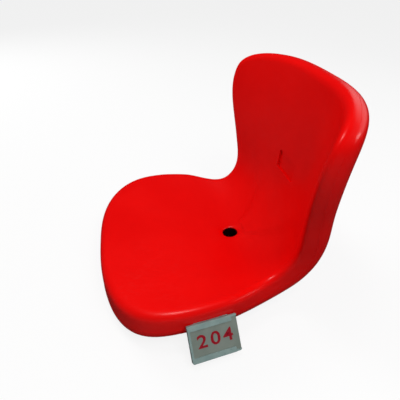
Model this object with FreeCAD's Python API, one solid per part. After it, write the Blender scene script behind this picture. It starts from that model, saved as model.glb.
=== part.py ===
"""Bucket-type stadium seat: one hollow blow-moulded plastic shell that is seat and back
in one, four brass threaded inserts moulded into its feet, and a row sign at its side.

Frame, in millimetres: +Z up, the sitter faces -Y, +X is the sitter's left.
The origin is the centre of the four inserts, in the plane of the feet's bottom faces.
"""
import FreeCAD, Part
import math
import os

V = FreeCAD.Vector

# The shell is drawn flat first. Station s runs along its middle line, from the front edge
# over the pan and up the back; x is the distance from that line. s = 0 is the drain hole.

# Reach and width of the shell, along the skin
front_reach = 254.5         # from the drain hole to the front edge
back_reach = 368.4          # from the drain hole to the top edge of the back
half_width_front = 215.0    # where the front corners begin
half_width_pan = 207.0
half_width_waist = 169.2    # narrowest place, where the pan turns into the back
half_width_back = 185.4
half_width_top = 212.9      # where the top corners begin
pan_station = -65.8         # stations of those widths
waist_station = 49.0
back_station = 175.0
front_corner_length = 127.3
top_corner_length = 72.6
front_corner_squareness = 2.61
top_corner_squareness = 3.0
end_narrowing = 2.0         # the widths' curve ends this much narrower than its last corners

# Slope of the middle line, in degrees
pan_slope = -5.4            # the pan falls towards the drain hole
back_slope = 88.9
bend_start = -50.7          # stations between which the pan turns up into the back
bend_end = 182.6
front_lift = 8.3            # the front edge rises a little again
front_lift_length = 119.4
front_lift_power = 1.5
front_lift_most = 2.0       # past the front edge, where the line is only followed for its slope
top_lean = -10.1            # the upper back leans further backwards
top_lean_length = 248.8

# Hollow of the seat across its width: how far its sides stand above the middle line
hollow_reach = 209.0
hollow_power = 2.61
hollow_station = -125.5     # of the pan's value
hollow_front = -3.8
hollow_pan = 19.8
hollow_waist = 48.6
hollow_back = 67.7
hollow_top = 57.5

# Side wall, double wall and roundings
rim_depth_front = 59.0
rim_depth_pan = 53.3
rim_depth_waist = 53.3
rim_depth_back = 48.0
rim_depth_top = 40.1
panel_depth = 30.0          # from the upper skin to the lower skin, inside the rim
rim_foot = 34.0             # from the outline to where the lower skin starts to step up
rim_step = 18.0             # width of that step
wall = 3.5
edge_radius = 14.0
lower_edge_radius = 15.7

# Height of the shell, and its drain hole
pan_height = 52.0           # upper skin at the drain hole
drain_behind_mount = 40.0   # from the middle of the inserts to the drain hole
drain_diameter = 28.0
drain_lip = 4.0             # radius of the rounded mouth
drain_lip_turn = 65.0       # degrees of that rounding, which then runs out as a cone
drain_sink = 0.2            # the rounding lies this much deeper than the skin at the middle
drain_cone = 16.0           # how far out the tool's cone goes

# Feet and threaded inserts (M8)
mount_spacing_x = 200.0
mount_spacing_y = 150.0
foot_diameter = 36.0
foot_taper = 6.0            # degrees
thread_minor_radius = 3.4
insert_length = 20.0
insert_diameter = 12.0
insert_flange = 17.0
insert_flange_thickness = 1.6
insert_groove_width = 3.0   # ring that the plastic locks into
insert_groove_depth = 1.0
thread_blind = 4.0          # free depth above the insert
blind_gap = 0.2             # and its clearance round the thread
moulded_gap = 0.05          # between an insert and the plastic round it

# Grooves pressed into the lower skin until they meet the upper one
groove_width = 14.0         # at the bottom of the groove
groove_draft = 12.0         # degrees
pan_groove_length = 110.0
pan_groove_station = -95.0
pan_groove_x = 42.0
back_groove_length = 120.0
back_groove_station = 262.0
back_groove_pitch = 72.0

# Shallow place for a seat number, low on the back
number_width = 70.0
number_height = 34.0
number_depth = 3.0
number_corner = 3.0
number_station = 192.0

# Row sign: a holder on the near side wall and the plate that slides into it
sign_station = -89.3        # along the side, from the drain hole
sign_drop = 27.1            # from the rim's upper edge down to the holder's top
sign_length = 80.0
sign_height = 56.5
sign_tilt = 35.0            # the face looks up by this angle
sign_back = 2.0
sign_corner = 3.0           # lower corners
sign_top_corner = 1.0
end_wall = 3.5
lip_width = 8.5
lip_thickness = 1.4
lip_length = 71.0
lip_corner = 2.0
lip_rounding = 0.56
lip_base = 3.0              # solid part of a lip, beside the plate
plate_thickness = 2.0
plate_gap = 0.25            # clearance of the plate in its channel
plate_short = 0.6           # the plate ends this far before the holder's open end
tab_height = 15.0
tab_thickness = 2.6
tab_rounding = 1.17
tab_length = 56.0
face_bite = 1.5             # how far the inclined face runs into the tab
rib_thickness = 2.0
landing_depth = 1.2         # flat sunk into the side wall, for the tab
landing_margin = 1.0
landing_reach = 4.8         # as far out as the tool that cuts the flat goes
landing_run = 20.0          # the flat goes on below the tab, out of the rounded edge
screw_spacing = 36.0
screw_drop = 8.5            # from the holder's top down to the screws
screw_shank = 4.2
screw_length = 13.0
screw_head = 8.0
screw_head_height = 2.8
screw_dome = 1.26           # height of the head's domed part
screw_tip = 0.63            # radius of the blunt tip
screw_point = 3.15          # length of the pointed end
recess_length = 4.0         # cross recess in the head
recess_width = 1.12
recess_depth = 1.4
screw_hole = 4.6
screw_pilot_gap = 0.05
driver_hole = 9.5
boss_depth = 15.0           # solid plastic behind the landing
pilot_floor = 1.0           # of which this much stays behind a screw's hole

# How finely the surfaces are drawn
around = 96
outline_steps = 60          # for each corner of the outline and for the side between them
line_step = 2.0             # along the middle line
line_margin = 60.0          # the middle line goes on this far past both edges
skin_rings = 9
flat_ring_radius = 5.0
edge_angles = (22.5, 45.0, 67.5, 90.0)
side_shares = (0.33, 0.66)
lower_edge_angles = (0.0, 30.0, 60.0, 90.0)
rim_flat_share = 0.6
step_shares = (0.0, 0.25, 0.5, 0.75, 1.0)

# Cutting tools and tests
clear = 1.0                 # how far a tool goes past the face it starts from
tool_reach = 14.0           # and how far where the face is curved
through = 80.0              # length of a tool that goes right through
near = 1e-6                 # points this close are the same


def eased(t):
    """0 to 1 with soft ends."""
    t = min(max(t, 0.0), 1.0)
    return t * t * (3 - 2 * t)


def mix(a, b, t):
    return a + (b - a) * t


class SoftCurve:
    """A curve through stations and values that never overshoots them."""

    def __init__(self, stations, values):
        self.s = stations
        self.v = values
        gaps = [b - a for a, b in zip(stations, stations[1:])]
        rates = [(b - a) / g for a, b, g in zip(values, values[1:], gaps)]
        slopes = [self.end_slope(gaps[0], gaps[1], rates[0], rates[1])]
        for g0, g1, r0, r1 in zip(gaps, gaps[1:], rates, rates[1:]):
            w0 = 2 * g1 + g0
            w1 = g1 + 2 * g0
            slopes.append((w0 + w1) / (w0 / r0 + w1 / r1) if r0 * r1 > 0 else 0.0)
        slopes.append(self.end_slope(gaps[-1], gaps[-2], rates[-1], rates[-2]))
        self.m = slopes

    @staticmethod
    def end_slope(g0, g1, r0, r1):
        slope = ((2 * g0 + g1) * r0 - g0 * r1) / (g0 + g1)
        if slope * r0 <= 0:
            return 0.0
        if r0 * r1 < 0 and abs(slope) > 3 * abs(r0):
            return 3 * r0
        return slope

    def at(self, s):
        s = min(max(s, self.s[0]), self.s[-1])
        i = 0
        while i < len(self.s) - 2 and s > self.s[i + 1]:
            i += 1
        h = self.s[i + 1] - self.s[i]
        t = (s - self.s[i]) / h
        low = (1 + 2 * t) * (1 - t) ** 2 * self.v[i] + t * (1 - t) ** 2 * h * self.m[i]
        high = t * t * (3 - 2 * t) * self.v[i + 1] - t * t * (1 - t) * h * self.m[i + 1]
        return low + high


front_cap = front_corner_length - front_reach     # station where the front corners begin
top_cap = back_reach - top_corner_length
side_stations = [-front_reach, hollow_station, waist_station,
                 (waist_station + back_reach) / 2, back_reach]
half_width = SoftCurve(
    [-front_reach, front_cap, pan_station, waist_station, back_station, top_cap, back_reach],
    [half_width_front - end_narrowing, half_width_front, half_width_pan, half_width_waist,
     half_width_back, half_width_top, half_width_top - end_narrowing])
hollow = SoftCurve(side_stations, [hollow_front, hollow_pan, hollow_waist, hollow_back, hollow_top])
rim_depth = SoftCurve(side_stations, [rim_depth_front, rim_depth_pan, rim_depth_waist,
                                      rim_depth_back, rim_depth_top])


def slope_at(s):
    """Slope of the middle line, in radians."""
    a = pan_slope + (back_slope - pan_slope) * eased((s - bend_start) / (bend_end - bend_start))
    lift = (front_lift_length - front_reach - s) / front_lift_length
    a += front_lift * min(max(lift, 0.0), front_lift_most) ** front_lift_power
    a += top_lean * eased((s - back_reach + top_lean_length) / top_lean_length)
    return math.radians(a)


class MiddleLine:
    """The middle line in side view, found by adding up its slope in small steps."""

    def __init__(self):
        self.start = -front_reach - line_margin
        count = int((front_reach + back_reach + 2 * line_margin) / line_step) + 1
        self.y = [0.0]
        self.z = [0.0]
        for i in range(count):
            a = slope_at(self.start + (i + 0.5) * line_step)
            self.y.append(self.y[-1] + line_step * math.cos(a))
            self.z.append(self.z[-1] + line_step * math.sin(a))
        y0, z0 = self.at(0.0)
        self.y = [y - y0 + drain_behind_mount for y in self.y]
        self.z = [z - z0 + pan_height for z in self.z]

    def at(self, s):
        t = (s - self.start) / line_step
        i = min(max(int(t), 0), len(self.y) - 2)
        return mix(self.y[i], self.y[i + 1], t - i), mix(self.z[i], self.z[i + 1], t - i)


middle_line = MiddleLine()


def on_shell(x, s, depth):
    """The place in space of a point (x, s) of the flat drawing, at a depth below the skin."""
    y, z = middle_line.at(s)
    a = slope_at(s)
    up = hollow.at(s) * (abs(x) / hollow_reach) ** hollow_power - depth
    return V(x, y - up * math.sin(a), z + up * math.cos(a))


def skin_frame(s, x=0.0, depth=0.0):
    """Placement on the middle line: local X across, local Y along it, local Z off the skin."""
    turn = FreeCAD.Rotation(V(1, 0, 0), math.degrees(slope_at(s)))
    return FreeCAD.Placement(on_shell(x, s, depth), turn)


def flat_outline(count):
    """The shell's edge in the flat drawing, evenly spaced from the front middle and round."""
    right = []
    for i in range(outline_steps + 1):
        t = math.pi / 2 * (1 - i / outline_steps)
        s = front_cap - front_corner_length * math.sin(t) ** (2 / front_corner_squareness)
        right.append((half_width.at(s) * max(math.cos(t), 0.0) ** (2 / front_corner_squareness), s))
    for i in range(1, outline_steps):
        s = mix(front_cap, top_cap, i / outline_steps)
        right.append((half_width.at(s), s))
    for i in range(outline_steps + 1):
        t = math.pi / 2 * i / outline_steps
        s = top_cap + top_corner_length * math.sin(t) ** (2 / top_corner_squareness)
        right.append((half_width.at(s) * max(math.cos(t), 0.0) ** (2 / top_corner_squareness), s))
    right[0] = (0.0, -front_reach)
    right[-1] = (0.0, back_reach)
    lengths = [0.0]
    for (x0, s0), (x1, s1) in zip(right, right[1:]):
        lengths.append(lengths[-1] + math.hypot(x1 - x0, s1 - s0))
    half = []
    k = 0
    for i in range(count // 2 + 1):
        want = lengths[-1] * i / (count // 2)
        while k < len(lengths) - 2 and lengths[k + 1] < want:
            k += 1
        t = (want - lengths[k]) / (lengths[k + 1] - lengths[k])
        half.append((mix(right[k][0], right[k + 1][0], t), mix(right[k][1], right[k + 1][1], t)))
    return half + [(-x, s) for x, s in half[-2:0:-1]]


def outward(points):
    """Unit normals of a closed outline."""
    normals = []
    for i in range(len(points)):
        x0, s0 = points[i - 1]
        x1, s1 = points[(i + 1) % len(points)]
        length = math.hypot(x1 - x0, s1 - s0)
        normals.append(((s1 - s0) / length, (x0 - x1) / length))
    return normals


def inward(points, normals):
    """Unit vectors between the inward normal and the way to the drain hole. Rings that move
    along them never cross at a tight corner."""
    ways = []
    for (x, s), (nx, ns) in zip(points, normals):
        r = math.hypot(x, s)
        ux, us = -nx - x / r, -ns - s / r
        length = math.hypot(ux, us)
        ways.append((ux / length, us / length))
    return ways


def shell_rings(skin):
    """Closed rings of points over the shell's surface, from the drain hole over the upper
    skin, round the rim and back along the lower skin. skin is how far the surface lies
    inside the real one: 0 for the outside, the wall's thickness for the hollow."""
    edge = flat_outline(around)
    normal = outward(edge)
    way = inward(edge, normal)
    depth = [rim_depth.at(s) for x, s in edge]
    panel = panel_depth - skin
    middle = on_shell(0.0, 0.0, 0.0)
    rings = []

    def level(height):
        return [height] * len(edge)

    def flat_ring(below):
        ring = []
        for x, s in edge:
            share = flat_ring_radius / math.hypot(x, s)
            ring.append(V(x * share, middle.y + s * share, middle.z - below))
        rings.append(ring)

    def ring(out, below, past=0.0, share=1.0):
        """out is how far the ring lies outside the edge, past how far it then moves inwards,
        below holds a depth for each point."""
        rings.append([on_shell((x + out * nx + past * wx) * share,
                               (s + out * ns + past * ws) * share, b)
                      for (x, s), (nx, ns), (wx, ws), b in zip(edge, normal, way, below)])

    shares = [math.sin(math.pi / 2 * i / skin_rings) for i in range(1, skin_rings + 1)]
    flat_ring(skin)
    for share in shares:
        ring(-edge_radius, level(skin), share=share)
    for angle in edge_angles:
        a = math.radians(angle)
        r = edge_radius - skin
        ring(-edge_radius + r * math.sin(a), level(edge_radius - r * math.cos(a)))
    straight = [d - edge_radius - lower_edge_radius for d in depth]
    for t in side_shares:
        ring(-skin, [edge_radius + t * h for h in straight])
    for angle in lower_edge_angles:
        a = math.radians(angle)
        r = lower_edge_radius - skin
        ring(-lower_edge_radius + r * math.cos(a),
             [d - lower_edge_radius + r * math.sin(a) for d in depth])
    half_slope = math.atan2(rim_depth_waist - panel_depth, rim_step) / 2
    foot = rim_foot - lower_edge_radius - skin * math.tan(half_slope)
    ring(-lower_edge_radius, [d - skin for d in depth], rim_flat_share * foot)
    for t in step_shares:
        ring(-lower_edge_radius, [mix(d - skin, panel, eased(t)) for d in depth],
             foot + rim_step * t)
    for share in shares[-2::-1]:
        ring(-lower_edge_radius, level(panel), foot + rim_step, share)
    flat_ring(panel)
    return rings


def skin_solid(rings):
    """A closed solid over rings of points, each ring a smooth loop and the surface drawn to
    the rings as a curve is to its poles. It is split at the middle line and where the rim
    begins and ends, and a small flat cap closes each end."""
    turn = [i / around for i in range(around + 1)]
    rows = []
    for ring in rings:
        curve = Part.BSplineCurve()
        curve.interpolate(Points=ring, PeriodicFlag=True, Parameters=turn)
        rows.append(curve.getPoles())
    spans = len(rings) - 3
    whole = Part.BSplineSurface()
    whole.buildFromPolesMultsKnots(
        [list(column) for column in zip(*rows)], curve.getMultiplicities(),
        [4] + [1] * (spans - 1) + [4], curve.getKnots(), [i / spans for i in range(spans + 1)],
        True, False, 3, 3)
    borders = [0.0, (skin_rings - 1) / spans, (spans - skin_rings + 1) / spans, 1.0]
    faces = []
    for side in (0.0, 0.5):
        for low, high in zip(borders, borders[1:]):
            piece = whole.copy()
            piece.segment(side, side + 0.5, low, high)
            faces.append(Part.Face(piece))
    for end in (0.0, 1.0):
        halves = [whole.vIso(end).toShape(side, side + 0.5) for side in (0.0, 0.5)]
        faces.append(Part.Face(Part.Wire(halves)))
    skin = Part.Shell(faces)
    skin.sewShape()
    return Part.Solid(skin)


def turned(profile):
    """A solid of revolution about local Z, from (radius, height) points and arcs. An arc is
    given as (radius, height, radius, height): a point on its way and its end."""
    edges = []
    last = profile[0]
    for point in profile[1:] + [profile[0][:2]]:
        start = V(last[-2], 0, last[-1])
        end = V(point[-2], 0, point[-1])
        if len(point) == 4:
            edges.append(Part.Arc(start, V(point[0], 0, point[1]), end).toShape())
        else:
            edges.append(Part.LineSegment(start, end).toShape())
        last = point
    return Part.Face(Part.Wire(edges)).revolve(V(0, 0, 0), V(0, 0, 1), 360)


def obround(length, width, height, corner):
    """A closed wire round a slot, its length along local Y, at a local height. A corner of
    half the width gives round ends."""
    x = width / 2 - corner
    y = length / 2 - corner
    edges = []
    corners = [(x, y, 0), (-x, y, 90), (-x, -y, 180), (x, -y, 270)]
    ends = []
    for cx, cy, first in corners:
        arc = [V(cx + corner * math.cos(math.radians(first + a)),
                 cy + corner * math.sin(math.radians(first + a)), height) for a in (0, 45, 90)]
        ends.append(arc)
    for arc, following in zip(ends, ends[1:] + ends[:1]):
        edges.append(Part.Arc(*arc).toShape())
        if arc[2].distanceToPoint(following[0]) > near:
            edges.append(Part.LineSegment(arc[2], following[0]).toShape())
    return Part.Wire(edges)


def placed(shape, placement):
    copy = shape.copy()
    copy.Placement = placement.multiply(copy.Placement)
    return copy


def groove_tool(length, grown):
    """One pressed groove, standing on local Z = 0 at the upper skin and widening downwards."""
    tip = -2 * wall if grown == 0 else -wall / 2
    spread = math.tan(math.radians(groove_draft))
    low = -panel_depth - 2 * wall
    tip_width = groove_width + 2 * grown - 2 * (tip + 2 * wall) * spread
    low_width = tip_width + 2 * (tip - low) * spread
    stretch = length - groove_width
    narrow = obround(tip_width + stretch, tip_width, tip, tip_width / 2)
    wide = obround(low_width + stretch, low_width, low, low_width / 2)
    return Part.makeLoft([wide, narrow], True, True)


groove_frames = [(skin_frame(pan_groove_station, side * pan_groove_x), pan_groove_length)
                 for side in (-1, 1)]
groove_frames += [(skin_frame(back_groove_station, side * back_groove_pitch), back_groove_length)
                  for side in (-1, 0, 1)]


def grooves(grown):
    return [placed(groove_tool(length, grown), frame) for frame, length in groove_frames]


def drain_tools():
    """The drain hole with its rounded mouth, and the tube of plastic round it."""
    r = drain_diameter / 2
    turn = math.radians(drain_lip_turn)
    low = -drain_lip * math.sin(turn) - drain_sink
    middle = (r + drain_lip * (1 - math.cos(turn / 2)), low + drain_lip * math.sin(turn / 2))
    end = (r + drain_lip * (1 - math.cos(turn)), low + drain_lip * math.sin(turn))
    run = drain_cone
    cone = (end[0] + run, end[1] + run / math.tan(turn))
    bottom = -panel_depth - tool_reach
    hole = turned([(0, bottom), (r, bottom), (r, low), middle + end, cone, (0, cone[1])])
    tube = Part.makeCylinder(r + wall, -bottom, V(0, 0, bottom))
    frame = skin_frame(0.0)
    return placed(hole, frame), placed(tube, frame)


def insert_profile(gap):
    """Half section of a threaded insert's outside, grown by a gap."""
    r = insert_diameter / 2 + gap
    flange = insert_flange / 2 + gap
    step = insert_flange_thickness + gap
    middle = (insert_flange_thickness + insert_length) / 2
    neck = r - insert_groove_depth
    low = middle - insert_groove_width / 2 + gap
    high = middle + insert_groove_width / 2 - gap
    return [(0, 0), (flange, 0), (flange, step), (r, step), (r, low), (neck, low),
            (neck, high), (r, high), (r, insert_length + gap), (0, insert_length + gap)]


insert_places = {
    name: V(side * mount_spacing_x / 2, end * mount_spacing_y / 2, 0)
    for name, side, end in (("insert_front_left", 1, -1), ("insert_front_right", -1, -1),
                            ("insert_rear_left", 1, 1), ("insert_rear_right", -1, 1))}


def threaded_insert(place):
    body = turned(insert_profile(0.0))
    bore = Part.makeCylinder(thread_minor_radius, insert_length)
    return placed(body.cut(bore), FreeCAD.Placement(place, FreeCAD.Rotation()))


def foot(place):
    """A tapered foot that runs up into the double wall and stays inside it."""
    r = foot_diameter / 2
    around_foot = [on_shell(place.x + i * r, place.y - drain_behind_mount + j * r, 2 * wall).z
                   for i in (-1, 0, 1) for j in (-1, 0, 1)]
    height = min(around_foot)
    top = r + height * math.tan(math.radians(foot_taper))
    return Part.makeCone(r, top, height, place)


def insert_bore(place):
    room = turned(insert_profile(moulded_gap))
    blind = Part.makeCylinder(thread_minor_radius + blind_gap, insert_length + thread_blind)
    return placed(room.fuse(blind), FreeCAD.Placement(place, FreeCAD.Rotation()))


def number_tool(grown):
    """The shallow seat-number place, or the plastic round it in the hollow."""
    deep = number_depth + grown
    wire = obround(number_height + 2 * grown, number_width + 2 * grown, -deep,
                   number_corner + grown)
    block = Part.Face(wire).extrude(V(0, 0, deep + tool_reach))
    return placed(block, skin_frame(number_station))


def side_point(station):
    """The near edge of the flat drawing at a station, with its outward normal."""
    edge = flat_outline(around)
    normal = outward(edge)
    i = 0
    while i < around // 2 - 1 and edge[i + 1][1] < station:
        i += 1
    t = (station - edge[i][1]) / (edge[i + 1][1] - edge[i][1])
    x = mix(edge[i][0], edge[i + 1][0], t)
    nx = mix(normal[i][0], normal[i + 1][0], t)
    ns = mix(normal[i][1], normal[i + 1][1], t)
    return x, math.atan2(ns, nx)


def sign_placement():
    """Local X out of the side wall, local Y along it to the rear, local Z up. The origin is
    on the landing, at the height of the holder's upper end."""
    x, turn = side_point(sign_station)
    upper = on_shell(x, sign_station, 0.0)
    face = on_shell(x, sign_station, edge_radius)
    origin = V(face.x - landing_depth * math.cos(turn), face.y - landing_depth * math.sin(turn),
               upper.z - sign_drop)
    return FreeCAD.Placement(origin, FreeCAD.Rotation(V(0, 0, 1), math.degrees(turn)))


sign_frame = sign_placement()
face_frame = FreeCAD.Placement(V(tab_thickness - face_bite, 0, 0),
                               FreeCAD.Rotation(V(0, 1, 0), -sign_tilt))
channel = plate_thickness + 2 * plate_gap
face_thickness = sign_back + channel + lip_thickness
screw_places = {"sign_screw_front": -screw_spacing / 2, "sign_screw_rear": screw_spacing / 2}


def box(x0, x1, y0, y1, z0, z1):
    return Part.makeBox(x1 - x0, y1 - y0, z1 - z0, V(x0, y0, z0))


def rounded(shape, radius, wanted):
    return shape.makeFillet(radius, [e for e in shape.Edges if wanted(e)])


def along_x(edge):
    a, b = edge.Vertexes[0].Point, edge.Vertexes[-1].Point
    return abs(a.y - b.y) + abs(a.z - b.z) < near


def sign_holder():
    """One moulded piece: a tab that lies on the side wall, and an inclined face with a lip
    along its upper and lower side and a wall at its front end. It is open at the rear."""
    half = sign_length / 2
    inside = end_wall - half
    face = box(0, face_thickness, -half, half, -sign_height, 0)
    face = rounded(face, sign_top_corner, lambda e: along_x(e) and e.Vertexes[0].Z > -near)
    face = rounded(face, sign_corner,
                   lambda e: along_x(e) and e.Vertexes[0].Z < near - sign_height)
    face = rounded(face, lip_rounding,
                   lambda e: min(v.X for v in e.Vertexes) > face_thickness - near)
    past = half + clear
    out = face_thickness + clear
    window = box(sign_back, out, inside, past, lip_width - sign_height, -lip_width)
    slot = box(sign_back, sign_back + channel, inside, past, lip_base - sign_height, -lip_base)
    lip_end = lip_length - half
    open_end = box(sign_back + channel, out, lip_end, past, -sign_height - clear, clear)
    face = face.cut([window, slot, open_end])
    face = rounded(face, lip_corner,
                   lambda e: along_x(e) and abs(e.Vertexes[0].Y - lip_end) < near
                   and lip_width - near < -e.Vertexes[0].Z < sign_height - lip_width + near)
    face = placed(face, face_frame)
    tab = rounded(box(0, tab_thickness, -tab_length / 2, tab_length / 2, -tab_height, 0),
                  tab_rounding, along_x)
    lean = math.tan(math.radians(sign_tilt))
    corner = tab_thickness - face_bite
    ribs = []
    for y in (-tab_length / 2, tab_length / 2 - rib_thickness):
        wire = Part.makePolygon([V(corner, y, 0), V(corner, y, -tab_height),
                                 V(corner + face_bite + tab_height * lean, y, -tab_height),
                                 V(corner, y, 0)])
        ribs.append(Part.Face(wire).extrude(V(0, rib_thickness, 0)))
    holder = face.fuse([tab] + ribs)
    cuts = []
    for y in screw_places.values():
        cuts.append(Part.makeCylinder(screw_hole / 2, through, V(-clear, y, -screw_drop),
                                      V(1, 0, 0)))
        cuts.append(Part.makeCylinder(driver_hole / 2, through,
                                      V(tab_thickness + screw_head_height / 2, y, -screw_drop),
                                      V(1, 0, 0)))
    return placed(holder.cut(cuts).removeSplitter(), sign_frame)


def row_plate():
    """The flat plate that slides into the holder from its open rear end."""
    half = sign_length / 2
    side = lip_base + plate_gap
    plate = box(sign_back + plate_gap, sign_back + plate_gap + plate_thickness,
                end_wall - half + plate_gap, half - plate_short,
                side - sign_height, -side)
    plate = rounded(plate, lip_corner, along_x)
    return placed(placed(plate, face_frame), sign_frame)


def sign_screw(y):
    """Self-tapping screw with a domed head and a cross recess, its axis along local X."""
    r = screw_shank / 2
    head = screw_head / 2
    side = screw_head_height - screw_dome
    ball = (head ** 2 + screw_dome ** 2) / (2 * screw_dome)
    way = math.asin(head / ball) / 2
    body = turned([(0, -screw_length), (screw_tip, -screw_length), (r, screw_point - screw_length),
                   (r, 0), (head, 0), (head, side),
                   (ball * math.sin(way), screw_head_height - ball * (1 - math.cos(way)),
                    0, screw_head_height)])
    arm = recess_length / 2
    slot = recess_width / 2
    low = screw_head_height - recess_depth
    top = screw_head_height + clear
    body = body.cut([box(-arm, arm, -slot, slot, low, top), box(-slot, slot, -arm, arm, low, top)])
    lie = FreeCAD.Placement(V(tab_thickness, y, -screw_drop), FreeCAD.Rotation(V(0, 1, 0), 90))
    return placed(body, sign_frame.multiply(lie))


def seat_shell():
    """The blow-moulded shell: its outside with feet, less the hollow between its two walls,
    less the grooves, holes and flats."""
    outside = skin_solid(shell_rings(0.0))
    inside = skin_solid(shell_rings(wall))
    hole, tube = drain_tools()
    margin = landing_margin
    landing = box(0, landing_reach, -tab_length / 2 - margin, tab_length / 2 + margin,
                  -tab_height - landing_run, margin)
    boss = box(-boss_depth, landing_reach / 2, -tab_length / 2 - wall, tab_length / 2 + wall,
               -tab_height - wall, wall)
    pilots = [Part.makeCylinder(screw_shank / 2 + screw_pilot_gap, boss_depth - pilot_floor,
                                V(pilot_floor - boss_depth, y, -screw_drop), V(1, 0, 0))
              for y in screw_places.values()]
    hollow_space = inside.cut([tube, placed(boss, sign_frame), number_tool(wall)] + grooves(wall))
    body = outside.fuse([foot(p) for p in insert_places.values()])
    cuts = [hollow_space, hole, placed(landing, sign_frame), number_tool(0.0)]
    cuts += [placed(p, sign_frame) for p in pilots]
    cuts += grooves(0.0)
    cuts += [insert_bore(p) for p in insert_places.values()]
    return body.cut(cuts)


def write_parts():
    parts = {"seat_shell": seat_shell(), "sign_holder": sign_holder(), "row_plate": row_plate()}
    for name, place in insert_places.items():
        parts[name] = threaded_insert(place)
    for name, y in screw_places.items():
        parts[name] = sign_screw(y)
    os.makedirs("parts", exist_ok=True)
    for name, shape in parts.items():
        shape.exportStep("parts/" + name + ".step")
        box_size = shape.BoundBox
        print(f"{name}: valid {shape.isValid()}, solids {len(shape.Solids)}, "
              f"volume {shape.Volume / 1000:.1f} cm3, "
              f"x {box_size.XMin:.1f} to {box_size.XMax:.1f}, "
              f"y {box_size.YMin:.1f} to {box_size.YMax:.1f}, "
              f"z {box_size.ZMin:.1f} to {box_size.ZMax:.1f}")


write_parts()
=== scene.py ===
"""Looks of the stadium seat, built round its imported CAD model.

The shell, inserts, screws, sign holder and plate are CAD nodes and get their materials here.
New pieces: the raised line where the two halves of the shell's mould met, and the plate's
printed digits. Units are metres, in the CAD's frame: Z up, the sitter faces -Y.
"""
import math

import bmesh
import bpy
from mathutils import Matrix, Vector
from mathutils.bvhtree import BVHTree


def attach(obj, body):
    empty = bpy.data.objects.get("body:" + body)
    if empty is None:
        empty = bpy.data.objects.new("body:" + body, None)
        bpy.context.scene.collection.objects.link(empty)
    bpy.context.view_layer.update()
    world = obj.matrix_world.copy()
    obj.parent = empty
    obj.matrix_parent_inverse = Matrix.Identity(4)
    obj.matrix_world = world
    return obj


MM = 0.001

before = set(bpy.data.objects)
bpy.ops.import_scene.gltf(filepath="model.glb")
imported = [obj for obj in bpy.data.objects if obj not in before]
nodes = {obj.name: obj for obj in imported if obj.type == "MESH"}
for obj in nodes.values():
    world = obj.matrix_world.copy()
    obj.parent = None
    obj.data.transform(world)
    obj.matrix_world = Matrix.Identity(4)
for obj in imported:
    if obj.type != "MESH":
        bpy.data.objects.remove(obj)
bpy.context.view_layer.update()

# Camera, from the photograph's perspective.
CAMERA_AT = Vector((590.8, -153.8, 523.5)) * MM
LOOK = Vector((-0.82111, 0.18114, -0.54126)).normalized()
ROLL = math.radians(1.84)
LENS = 34.8
SENSOR = 36.0

# The sign's place: a point on the shell's side wall and two turns, as in the CAD.
SIGN_AT = Vector((210.0233, -47.9990, 56.5398)) * MM
SIGN_TURN = math.radians(9.0321)
SIGN_TILT = math.radians(35.0)
TAB_FACE = 1.1 * MM             # from the side wall to the inclined face's upper edge
PLATE_FACE = 4.25 * MM          # from the inclined face's back to the plate's printed side
SIGN_HEIGHT = 56.5 * MM

DIGITS = "204"
DIGIT_HEIGHT = 19.0 * MM
DIGIT_PLACES = (-20.0, 1.4, 22.0)       # mm along the plate, from the sign's middle
DIGIT_RAISE = 0.12 * MM
DIGIT_BOLDER = 0.45 * MM
DIGIT_WIDER = 1.2

# Drain hole, square to the pan. Its inside is painted almost black, as painted shade standing
# in for the deep shade in the hole.
DRAIN_AT = Vector((0.0, 40.0, 52.0)) * MM
DRAIN_TILT = math.radians(6.02)
DRAIN_RADIUS = 14.0 * MM
DRAIN_DEEP = 1000.0                     # the painted shade reaches all along the hole

# Half of the line where the mould's two halves met, from the front edge's middle over the
# left side to the top edge's middle, in millimetres.
PARTING_LINE = (
    (0.0, -212.0, 28.7), (60.6, -210.2, 28.8), (120.3, -201.0, 29.4), (175.1, -177.3, 33.2),
    (210.2, -130.4, 43.2), (214.0, -69.8, 50.5), (202.9, -10.0, 51.3), (179.4, 46.5, 48.7),
    (169.6, 101.0, 74.5), (176.8, 122.3, 129.4), (187.3, 115.5, 187.5), (203.9, 105.4, 248.4),
    (212.8, 106.9, 310.7), (179.7, 140.3, 352.3), (121.1, 168.6, 361.6), (60.6, 180.8, 363.6),
    (0.0, 183.1, 363.7))
PARTING_RADIUS = 0.55 * MM
PARTING_SINK = 0.3 * MM
PARTING_STEPS = 12                      # between two of the points
PARTING_SIDES = 8

WELD_DISTANCE = 0.01 * MM
SHARP_ANGLE = math.radians(32.0)
CAPITAL_SHARE = 0.69                    # height of a digit, of the text's size
TEXT_WELD = 0.005 * MM
FLOOR_HALF = 6.0
FLOOR_BELOW = 0.5 * MM

# Strength of the world: to the camera, to what it lights, and in reflections.
SKY_WHITE, SKY_SOFT, SKY_MIRRORED = 1.0, 0.13, 0.02


# ---------------------------------------------------------------- materials

class Socket:
    """An output of a shader node. Adding to it or multiplying it adds a Math node."""

    def __init__(self, nodes_of, socket):
        self.nodes_of = nodes_of
        self.socket = socket

    def maths(self, operation, *values):
        sockets = dict(enumerate(values))
        return self.nodes_of.node("Math", {"operation": operation}, sockets)

    def __add__(self, other):
        return self.maths("ADD", self, other)

    def __mul__(self, other):
        return self.maths("MULTIPLY", self, other)

    __radd__ = __add__
    __rmul__ = __mul__


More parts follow.
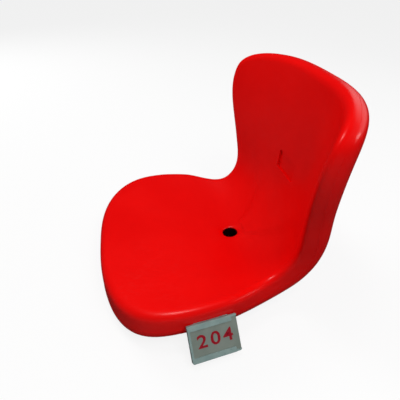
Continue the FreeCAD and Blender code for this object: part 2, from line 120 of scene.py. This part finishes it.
class ShaderNodes:
    """The nodes of a material or of the world, from empty."""

    def __init__(self, owner):
        owner.use_nodes = True
        self.tree = owner.node_tree
        self.tree.nodes.clear()

    def node(self, kind, settings=None, sockets=None, output=0):
        made = self.tree.nodes.new("ShaderNode" + kind)
        for name, value in (settings or {}).items():
            setattr(made, name, value)
        for key, value in (sockets or {}).items():
            if isinstance(value, Socket):
                self.tree.links.new(value.socket, made.inputs[key])
            else:
                made.inputs[key].default_value = value
        return Socket(self, made.outputs[output]) if made.outputs else None


class Finish(ShaderNodes):
    """A material and the nodes that make it."""

    def __init__(self, name):
        self.material = bpy.data.materials.new(name)
        super().__init__(self.material)

    def place(self, scale=(1.0, 1.0, 1.0), turn=(0.0, 0.0, 0.0)):
        """Object coordinates, stretched and turned."""
        where = self.node("TexCoord", output="Object")
        return self.node("Mapping", sockets={
            "Vector": where, "Scale": scale, "Rotation": turn})

    def noise(self, scale, detail=2.0, roughness=0.5, where=None):
        return self.node("TexNoise", sockets={
            "Vector": where or self.place(), "Scale": scale, "Detail": detail,
            "Roughness": roughness})

    def ramp(self, value, low, high, to_low=0.0, to_high=1.0):
        """A value carried from one range to another, smoothly and held at both ends."""
        return self.node("MapRange", {"interpolation_type": "SMOOTHSTEP"}, {
            "Value": value, "From Min": low, "From Max": high,
            "To Min": to_low, "To Max": to_high})

    def mix(self, factor, first, second):
        return self.node("Mix", {"data_type": "RGBA"}, {0: factor, 6: first, 7: second}, 2)

    def bump(self, height, distance, strength=1.0, under=None):
        sockets = {"Height": height, "Distance": distance, "Strength": strength}
        if under:
            sockets["Normal"] = under
        return self.node("Bump", sockets=sockets)

    def surface(self, sockets):
        shader = self.node("BsdfPrincipled", sockets=sockets)
        self.node("OutputMaterial", sockets={"Surface": shader})
        return self.material


def colour(red, green, blue):
    return (red, green, blue, 1.0)


def moulded_red():
    """Glossy blow-moulded polyethylene: skin a little uneven from the mould, with fine
    pimples, hair-fine rub marks and small changes of depth in the red; painted shade, near
    black, inside the drain hole."""
    f = Finish("moulded_red")
    cloudy = f.ramp(f.noise(6.0, detail=3.0), 0.3, 0.7)
    red = f.mix(cloudy, colour(0.740, 0.0005, 0.0004), colour(0.800, 0.0010, 0.0006))
    along = f.place((2600.0, 70.0, 260.0), (0.0, 0.0, 0.35))
    across = f.place((90.0, 2300.0, 300.0), (0.0, 0.0, -0.5))
    rubs = f.ramp(f.noise(1.0, 1.0, where=along), 0.66, 0.74)
    rubs = rubs + f.ramp(f.noise(1.0, 1.0, where=across), 0.67, 0.75)
    rubs = rubs * f.ramp(f.noise(9.0, detail=2.0), 0.46, 0.66)
    red = f.mix(0.12 * rubs, red, colour(0.80, 0.10, 0.09))
    # Painted shade: inside the drain hole the red is mixed to near black, standing in for the
    # deep shade there. The mask is 0 inside the hole and 1 outside it.
    across_drain = f.node("Mapping", {"vector_type": "TEXTURE"}, {
        "Vector": f.node("TexCoord", output="Object"), "Location": DRAIN_AT,
        "Rotation": (DRAIN_TILT, 0.0, 0.0), "Scale": (1.0, 1.0, DRAIN_DEEP)})
    from_drain = f.node("VectorMath", {"operation": "LENGTH"}, {0: across_drain}, 1)
    outside_painted_hole_shade = f.ramp(from_drain, DRAIN_RADIUS + 0.1 * MM, DRAIN_RADIUS + 1.2 * MM)
    red = f.mix(outside_painted_hole_shade, colour(0.012, 0.001, 0.001), red)
    rough = f.ramp(cloudy, 0.0, 1.0, 0.28, 0.32) + 0.14 * rubs
    waves = f.bump(f.noise(14.0, detail=0.0), 0.0010, 0.5)
    pimples = f.bump(f.noise(700.0, detail=2.0), 0.00005, 0.5, waves)
    return f.surface({"Base Color": red, "Roughness": rough, "Normal": pimples,
                      "Specular IOR Level": 0.5})


def sign_grey():
    """Grey-green moulded plastic of the sign holder, with a fine matt grain."""
    f = Finish("sign_grey")
    cloudy = f.ramp(f.noise(55.0, detail=3.0), 0.3, 0.7)
    grey = f.mix(cloudy, colour(0.195, 0.275, 0.265), colour(0.235, 0.320, 0.305))
    dirt = f.ramp(f.noise(210.0, detail=4.0), 0.56, 0.74, 0.0, 0.35)
    grey = f.mix(dirt, grey, colour(0.14, 0.18, 0.17))
    grain = f.noise(1500.0, detail=2.0)
    rough = f.ramp(cloudy, 0.0, 1.0, 0.42, 0.50)
    return f.surface({"Base Color": grey, "Roughness": rough,
                      "Normal": f.bump(grain, 0.00006, 0.6)})


def plate_grey():
    """Satin face of the plate."""
    f = Finish("plate_grey")
    cloudy = f.ramp(f.noise(40.0, detail=3.0), 0.3, 0.7)
    grey = f.mix(cloudy, colour(0.172, 0.204, 0.178), colour(0.200, 0.232, 0.204))
    lines = f.ramp(f.noise(1.0, 2.0, where=f.place((900.0, 40.0, 900.0))), 0.60, 0.72)
    rough = 0.36 + 0.14 * lines
    return f.surface({"Base Color": grey, "Roughness": rough,
                      "Normal": f.bump(f.noise(1100.0), 0.00003, 0.5)})


def digit_red():
    """Printing ink, a little thin in places."""
    f = Finish("digit_red")
    thin = f.ramp(f.noise(420.0, detail=3.0), 0.55, 0.75, 0.0, 0.35)
    ink = f.mix(thin, colour(0.270, 0.006, 0.016), colour(0.205, 0.040, 0.040))
    return f.surface({"Base Color": ink, "Roughness": f.ramp(thin, 0.0, 0.35, 0.38, 0.5)})


def insert_brass():
    """Turned brass, dulled a little by handling."""
    f = Finish("insert_brass")
    dull = f.ramp(f.noise(180.0, detail=4.0), 0.40, 0.70)
    metal = f.mix(dull, colour(0.80, 0.58, 0.26), colour(0.50, 0.34, 0.15))
    turning = f.noise(1.0, 1.0, where=f.place((60.0, 60.0, 5200.0)))
    rough = f.ramp(dull, 0.0, 1.0, 0.29, 0.46)
    return f.surface({"Base Color": metal, "Metallic": 1.0, "Roughness": rough,
                      "Normal": f.bump(turning, 0.00004, 0.5)})


def screw_zinc():
    """Bright zinc plating with a faint blue and yellow cast."""
    f = Finish("screw_zinc")
    cast = f.ramp(f.noise(300.0, detail=3.0), 0.35, 0.65)
    metal = f.mix(cast, colour(0.55, 0.58, 0.62), colour(0.66, 0.62, 0.50))
    rough = f.ramp(f.noise(900.0, detail=3.0), 0.3, 0.7, 0.29, 0.42)
    return f.surface({"Base Color": metal, "Metallic": 1.0, "Roughness": rough})


RED = moulded_red()
HOLDER = sign_grey()
PLATE = plate_grey()
INK = digit_red()
BRASS = insert_brass()
ZINC = screw_zinc()

FINISHES = {"seat_shell": RED, "sign_holder": HOLDER, "row_plate": PLATE,
            "sign_screw_front": ZINC, "sign_screw_rear": ZINC}
for name in nodes:
    if name.startswith("insert_"):
        FINISHES[name] = BRASS


def dress(node, material):
    """A CAD node gets its material, its vertices joined and its shading smoothed over all
    but its sharp edges."""
    piece = nodes[node]
    piece.data.materials.clear()
    piece.data.materials.append(material)
    weld = piece.modifiers.new("weld", "WELD")
    weld.merge_threshold = WELD_DISTANCE
    for polygon in piece.data.polygons:
        polygon.use_smooth = True
    split = piece.modifiers.new("sharp", "EDGE_SPLIT")
    split.split_angle = SHARP_ANGLE


for name, material in FINISHES.items():
    dress(name, material)


# ---------------------------------------------------------------- new pieces

def finished(name, work, material, body, smooth=True):
    """An object from a bmesh, on its body."""
    mesh = bpy.data.meshes.new(name)
    work.to_mesh(mesh)
    work.free()
    for polygon in mesh.polygons:
        polygon.use_smooth = smooth
    mesh.materials.append(material)
    piece = bpy.data.objects.new(name, mesh)
    bpy.context.scene.collection.objects.link(piece)
    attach(piece, body)


def smooth_loop(points, steps):
    """A closed smooth curve through points (Catmull-Rom), with so many steps for each."""
    loop = []
    count = len(points)
    for i in range(count):
        a, b, c, d = (points[(i + k) % count] for k in (-1, 0, 1, 2))
        for step in range(steps):
            t = step / steps
            loop.append(0.5 * (2 * b + (c - a) * t + (2 * a - 5 * b + 4 * c - d) * t * t
                               + (3 * b - a - 3 * c + d) * t * t * t))
    return loop


def shell_skin():
    """The shell's surface, for finding points on it."""
    mesh = nodes["seat_shell"].data
    return BVHTree.FromPolygons([v.co for v in mesh.vertices],
                                [tuple(p.vertices) for p in mesh.polygons])


def parting_line():
    """The raised line that the mould's joint leaves round the rim."""
    half = [Vector(p) * MM for p in PARTING_LINE]
    other = [Vector((-p.x, p.y, p.z)) for p in reversed(half[1:-1])]
    path = smooth_loop(half + other, PARTING_STEPS)
    skin = shell_skin()
    found = [skin.find_nearest(p)[:2] for p in path]
    work = bmesh.new()
    rings = []
    count = len(found)
    for i in range(count):
        here, out = found[i]
        ahead = (found[(i + 1) % count][0] - found[i - 1][0]).normalized()
        out = (out - out.dot(ahead) * ahead).normalized()
        side = ahead.cross(out)
        middle = here - out * PARTING_SINK
        ring = []
        for k in range(PARTING_SIDES):
            angle = 2 * math.pi * k / PARTING_SIDES
            ring.append(work.verts.new(middle + PARTING_RADIUS * (
                math.cos(angle) * out + math.sin(angle) * side)))
        rings.append(ring)
    for ring, following in zip(rings, rings[1:] + rings[:1]):
        for k in range(PARTING_SIDES):
            j = (k + 1) % PARTING_SIDES
            work.faces.new((ring[k], ring[j], following[j], following[k]))
    bmesh.ops.recalc_face_normals(work, faces=work.faces)
    finished("parting_line", work, RED, "seat")


def sign_place():
    """From the sign's own directions to the seat's: X out of its face, Y along it to the
    rear, Z up along it, its origin at the middle of the face's upper edge."""
    return (Matrix.Translation(SIGN_AT) @ Matrix.Rotation(SIGN_TURN, 4, "Z")
            @ Matrix.Translation((TAB_FACE, 0.0, 0.0)) @ Matrix.Rotation(-SIGN_TILT, 4, "Y"))


def digits():
    """Plain digits on the plate, each a thin raised layer of ink."""
    upright = Matrix(((0, 0, 1, 0), (1, 0, 0, 0), (0, 1, 0, 0), (0, 0, 0, 1)))
    for count, (digit, along) in enumerate(zip(DIGITS, DIGIT_PLACES), 1):
        text = bpy.data.curves.new("digit", "FONT")
        text.body = digit
        text.align_x = "CENTER"
        text.align_y = "CENTER"
        text.size = DIGIT_HEIGHT / CAPITAL_SHARE
        text.extrude = DIGIT_RAISE / 2
        text.offset = DIGIT_BOLDER
        text.resolution_u = 6
        writing = bpy.data.objects.new("digit", text)
        bpy.context.scene.collection.objects.link(writing)
        bpy.context.view_layer.update()
        mesh = bpy.data.meshes.new_from_object(writing)
        bpy.data.objects.remove(writing)
        middle = Vector((PLATE_FACE + DIGIT_RAISE / 2, along * MM, -SIGN_HEIGHT / 2))
        mesh.transform(sign_place() @ Matrix.Translation(middle) @ upright
                       @ Matrix.Diagonal((DIGIT_WIDER, 1.0, 1.0, 1.0)))
        work = bmesh.new()
        work.from_mesh(mesh)
        bmesh.ops.remove_doubles(work, verts=work.verts, dist=TEXT_WELD)
        bmesh.ops.recalc_face_normals(work, faces=work.faces)
        finished("plate_digit_%d" % count, work, INK, "plate", smooth=False)


parting_line()
digits()


# ---------------------------------------------------------------- surroundings

def floor():
    """A pale floor. The camera sees it near white with the seat's shadow in it."""
    f = Finish("floor_white")
    seen = f.node("LightPath", output="Is Camera Ray")
    glossy = f.node("LightPath", output="Is Glossy Ray")
    plain = f.node("BsdfDiffuse", sockets={"Color": colour(0.80, 0.80, 0.80)})
    dim = f.node("BsdfDiffuse", sockets={"Color": colour(0.28, 0.28, 0.28)})
    dark = f.node("BsdfDiffuse", sockets={"Color": colour(0.02, 0.02, 0.02)})
    glow = f.node("Emission", sockets={"Color": colour(1.0, 1.0, 1.0), "Strength": 1.0})
    lit = f.node("MixShader", sockets={0: 0.86, 1: plain, 2: glow})
    unseen = f.node("MixShader", sockets={0: glossy, 1: dim, 2: dark})
    f.node("OutputMaterial", sockets={
        "Surface": f.node("MixShader", sockets={0: seen, 1: unseen, 2: lit})})
    work = bmesh.new()
    bmesh.ops.create_grid(work, x_segments=1, y_segments=1, size=FLOOR_HALF)
    mesh = bpy.data.meshes.new("floor")
    work.to_mesh(mesh)
    work.free()
    mesh.materials.append(f.material)
    piece = bpy.data.objects.new("floor", mesh)
    piece.location = (0.0, 0.0, -FLOOR_BELOW)
    bpy.context.scene.collection.objects.link(piece)


def sky():
    """White to the camera, a soft grey to what it lights, and dim in reflections: with white
    there, the red turns pink, so the lamps alone make the highlights."""
    world = bpy.data.worlds.new("studio")
    bpy.context.scene.world = world
    w = ShaderNodes(world)
    seen = w.node("LightPath", output="Is Camera Ray")
    glossy = w.node("LightPath", output="Is Glossy Ray")
    white, soft, mirrored = (w.node("Background", sockets={"Strength": strength})
                             for strength in (SKY_WHITE, SKY_SOFT, SKY_MIRRORED))
    unseen = w.node("MixShader", sockets={0: glossy, 1: soft, 2: mirrored})
    w.node("OutputWorld", sockets={
        "Surface": w.node("MixShader", sockets={0: seen, 1: unseen, 2: white})})


def lamp(name, at, towards, size, power, mirrored=True):
    """A rectangular lamp. One that isn't mirrored lights the seat without a highlight, and
    without multiple importance sampling, which would let part of its highlight through."""
    light = bpy.data.lights.new(name, "AREA")
    light.shape = "RECTANGLE"
    light.size, light.size_y = size
    light.energy = power
    piece = bpy.data.objects.new(name, light)
    piece.location = at
    piece.rotation_mode = "QUATERNION"
    piece.rotation_quaternion = (Vector(towards) - Vector(at)).to_track_quat("-Z", "Y")
    piece.visible_glossy = mirrored
    light.cycles.use_multiple_importance_sampling = mirrored
    bpy.context.scene.collection.objects.link(piece)


def camera():
    """The camera, turned a little about its own axis."""
    right = LOOK.cross(Vector((0.0, 0.0, 1.0))).normalized()
    up = right.cross(LOOK)
    level = right * math.cos(ROLL) + up * math.sin(ROLL)
    top = up * math.cos(ROLL) - right * math.sin(ROLL)
    data = bpy.data.cameras.new("camera")
    data.lens = LENS
    data.sensor_width = SENSOR
    data.clip_start = 0.01
    piece = bpy.data.objects.new("camera", data)
    piece.matrix_world = Matrix.Translation(CAMERA_AT) @ Matrix(
        (level, top, -LOOK)).transposed().to_4x4()
    bpy.context.scene.collection.objects.link(piece)
    bpy.context.scene.camera = piece


floor()
sky()
lamp("ceiling", (0.05, -0.30, 1.9), (0.0, 0.0, 0.1), (0.45, 0.35), 6.5)
lamp("window", (-0.35, 1.5, 0.95), (0.1, 0.1, 0.3), (2.2, 0.8), 4.0)
lamp("doorway", (0.6, 1.55, 0.85), (0.2, 0.15, 0.3), (0.2, 0.2), 1.4)
lamp("left", (-1.6, -1.2, 1.3), (0.0, 0.0, 0.1), (1.0, 1.0), 29.0, mirrored=False)
lamp("right", (1.2, 0.2, 1.8), (0.0, 0.0, 0.1), (1.0, 1.0), 22.0, mirrored=False)
lamp("behind", (0.8, 0.8, 1.7), (0.0, 0.0, 0.1), (1.0, 1.0), 5.0, mirrored=False)
lamp("near", (1.7, -1.1, 0.8), (0.1, 0.0, 0.1), (1.0, 1.0), 3.5, mirrored=False)
camera()
bpy.context.scene.view_settings.view_transform = "Standard"
